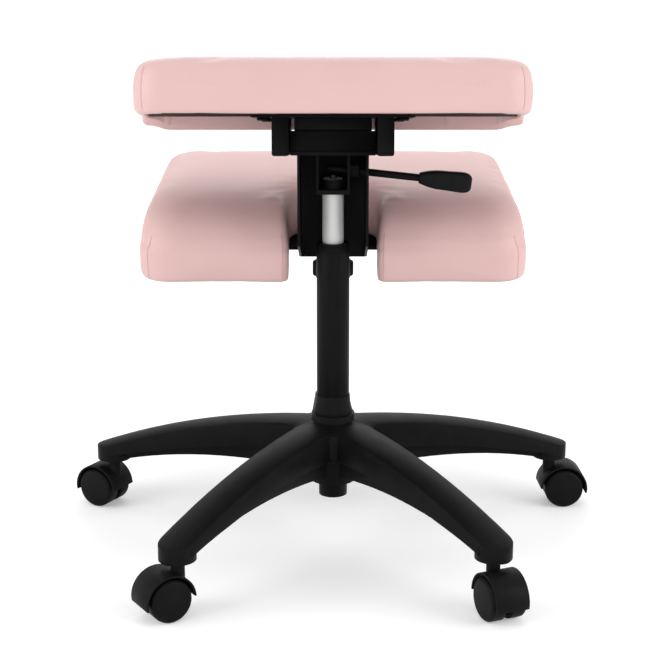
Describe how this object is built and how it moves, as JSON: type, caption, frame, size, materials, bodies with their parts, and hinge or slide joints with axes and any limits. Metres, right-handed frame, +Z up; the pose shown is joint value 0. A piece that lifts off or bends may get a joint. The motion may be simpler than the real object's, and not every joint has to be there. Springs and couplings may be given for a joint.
{
  "type": "kneeling chair",
  "caption": "Kneeling chair with a sloped seat, a notched knee pad, a height-adjustable gas column and a star base on twin-wheel casters.",
  "frame": {"origin": "on the floor, on the column's axis", "axes": "+Z up the column; +Y the way the sitter faces, from the seat towards the knee pad; +X to the sitter's right"},
  "size_m": [0.6724, 0.6458, 0.6119],
  "materials": {
    "nylon": "fine moulded texture",
    "black_steel": "satin powder coat",
    "bright_steel": "ground and polished",
    "plywood": "black-stained plywood",
    "leatherette": "smooth dusty-pink leatherette with a fine grain"
  },
  "bodies": {
    "base": {"star_base": "nylon", "caster_sockets": "bright_steel", "column_tube": "black_steel", "column_collar": "nylon", "column_guide": "nylon", "thrust_bearing": "bright_steel"},
    "spindle": {"piston_rod": "bright_steel", "retaining_clip": "bright_steel"},
    "upper": {"lift_cylinder": "bright_steel", "lift_bracket": "black_steel", "main_bracket": "black_steel", "seat_pan": "black_steel", "spacer_tray": "black_steel", "seat_plate": "black_steel", "seat_rail_left": "black_steel", "seat_rail_right": "black_steel", "rail_caps": "nylon", "frame_bolts": "black_steel", "frame_nuts": "black_steel", "rail_washers": "black_steel", "seat_board": "plywood", "seat_screws": "black_steel", "seat_cushion": "leatherette", "knee_sleeve": "black_steel", "lever_pin": "black_steel"},
    "valve": {"valve_pin": "bright_steel"},
    "lever": {"lever_rod": "black_steel", "lever_grip": "nylon"},
    "knee": {"knee_plate": "black_steel", "knee_arm": "black_steel", "knee_board": "plywood", "knee_screws": "black_steel", "knee_cushion": "leatherette"},
    "knob": {"clamp_knob": "nylon", "clamp_stud": "bright_steel"},
    "caster_side_right": {"caster_side_right_stem": "bright_steel", "caster_side_right_hood": "nylon", "caster_side_right_axle": "bright_steel"},
    "caster_side_right_wheel_left": {"caster_side_right_wheel_left": "nylon"},
    "caster_side_right_wheel_right": {"caster_side_right_wheel_right": "nylon"},
    "caster_front": {"caster_front_stem": "bright_steel", "caster_front_hood": "nylon", "caster_front_axle": "bright_steel"},
    "caster_front_wheel_left": {"caster_front_wheel_left": "nylon"},
    "caster_front_wheel_right": {"caster_front_wheel_right": "nylon"},
    "caster_side_left": {"caster_side_left_stem": "bright_steel", "caster_side_left_hood": "nylon", "caster_side_left_axle": "bright_steel"},
    "caster_side_left_wheel_left": {"caster_side_left_wheel_left": "nylon"},
    "caster_side_left_wheel_right": {"caster_side_left_wheel_right": "nylon"},
    "caster_rear_left": {"caster_rear_left_stem": "bright_steel", "caster_rear_left_hood": "nylon", "caster_rear_left_axle": "bright_steel"},
    "caster_rear_left_wheel_left": {"caster_rear_left_wheel_left": "nylon"},
    "caster_rear_left_wheel_right": {"caster_rear_left_wheel_right": "nylon"},
    "caster_rear_right": {"caster_rear_right_stem": "bright_steel", "caster_rear_right_hood": "nylon", "caster_rear_right_axle": "bright_steel"},
    "caster_rear_right_wheel_left": {"caster_rear_right_wheel_left": "nylon"},
    "caster_rear_right_wheel_right": {"caster_rear_right_wheel_right": "nylon"}
  },
  "joints": [
    {"name": "seat_swivel", "type": "hinge", "parent": "base", "child": "spindle", "pos_m": [0, 0, 0], "axis": [0, 0, 1], "continuous": true},
    {"name": "seat_height", "type": "slide", "parent": "spindle", "child": "upper", "axis": [0, 0, 1], "range_m": [-0.06, 0.05]},
    {"name": "lever_lift", "type": "hinge", "parent": "upper", "child": "lever", "pos_m": [0.025, 0, 0.46024], "axis": [0, -1, 0], "range_deg": [0, 8], "stiffness_Nm_per_rad": 2},
    {"name": "valve_press", "type": "slide", "parent": "upper", "child": "valve", "axis": [0, 0, 1], "range_m": [-0.004, 0]},
    {"name": "knee_slide", "type": "slide", "parent": "upper", "child": "knee", "axis": [0, 0.9903, 0.1392], "range_m": [0, 0.05]},
    {"name": "knob_turn", "type": "hinge", "parent": "upper", "child": "knob", "pos_m": [0, 0.07484, 0.35623], "axis": [0, -0.1392, 0.9903], "range_deg": [-360, 0]},
    {"name": "caster_side_right_swivel", "type": "hinge", "parent": "base", "child": "caster_side_right", "pos_m": [0.28416, 0.09618, 0.05], "axis": [0, 0, 1], "continuous": true},
    {"name": "caster_side_right_wheel_left_roll", "type": "hinge", "parent": "caster_side_right", "child": "caster_side_right_wheel_left", "pos_m": [0.30214, 0.09713, 0.025], "axis": [-0.0523, 0.9986, 0], "continuous": true},
    {"name": "caster_side_right_wheel_right_roll", "type": "hinge", "parent": "caster_side_right", "child": "caster_side_right_wheel_right", "pos_m": [0.30214, 0.09713, 0.025], "axis": [-0.0523, 0.9986, 0], "continuous": true},
    {"name": "caster_front_swivel", "type": "hinge", "parent": "base", "child": "caster_front", "pos_m": [-0.00366, 0.29998, 0.05], "axis": [0, 0, 1], "continuous": true},
    {"name": "caster_front_wheel_left_roll", "type": "hinge", "parent": "caster_front", "child": "caster_front_wheel_left", "pos_m": [0.00308, 0.31667, 0.025], "axis": [-0.9272, 0.3746, 0], "continuous": true},
    {"name": "caster_front_wheel_right_roll", "type": "hinge", "parent": "caster_front", "child": "caster_front_wheel_right", "pos_m": [0.00308, 0.31667, 0.025], "axis": [-0.9272, 0.3746, 0], "continuous": true},
    {"name": "caster_side_left_swivel", "type": "hinge", "parent": "base", "child": "caster_side_left", "pos_m": [-0.28643, 0.08921, 0.05], "axis": [0, 0, 1], "continuous": true},
    {"name": "caster_side_left_wheel_left_roll", "type": "hinge", "parent": "caster_side_left", "child": "caster_side_left_wheel_left", "pos_m": [-0.30202, 0.09821, 0.025], "axis": [-0.5, -0.866, 0], "continuous": true},
    {"name": "caster_side_left_wheel_right_roll", "type": "hinge", "parent": "caster_side_left", "child": "caster_side_left_wheel_right", "pos_m": [-0.30202, 0.09821, 0.025], "axis": [-0.5, -0.866, 0], "continuous": true},
    {"name": "caster_rear_left_swivel", "type": "hinge", "parent": "base", "child": "caster_rear_left", "pos_m": [-0.17336, -0.24484, 0.05], "axis": [0, 0, 1], "continuous": true},
    {"name": "caster_rear_left_wheel_left_roll", "type": "hinge", "parent": "caster_rear_left", "child": "caster_rear_left_wheel_left", "pos_m": [-0.18862, -0.25438, 0.025], "axis": [0.5299, -0.848, 0], "continuous": true},
    {"name": "caster_rear_left_wheel_right_roll", "type": "hinge", "parent": "caster_rear_left", "child": "caster_rear_left_wheel_right", "pos_m": [-0.18862, -0.25438, 0.025], "axis": [0.5299, -0.848, 0], "continuous": true},
    {"name": "caster_rear_right_swivel", "type": "hinge", "parent": "base", "child": "caster_rear_right", "pos_m": [0.17929, -0.24053, 0.05], "axis": [0, 0, 1], "continuous": true},
    {"name": "caster_rear_right_wheel_left_roll", "type": "hinge", "parent": "caster_rear_right", "child": "caster_rear_right_wheel_left", "pos_m": [0.18632, -0.2571, 0.025], "axis": [0.9205, 0.3907, 0], "continuous": true},
    {"name": "caster_rear_right_wheel_right_roll", "type": "hinge", "parent": "caster_rear_right", "child": "caster_rear_right_wheel_right", "pos_m": [0.18632, -0.2571, 0.025], "axis": [0.9205, 0.3907, 0], "continuous": true}
  ],
  "couplings": [
    {"joint": "valve_press", "follows": "lever_lift", "m_per_rad": -0.025}
  ]
}
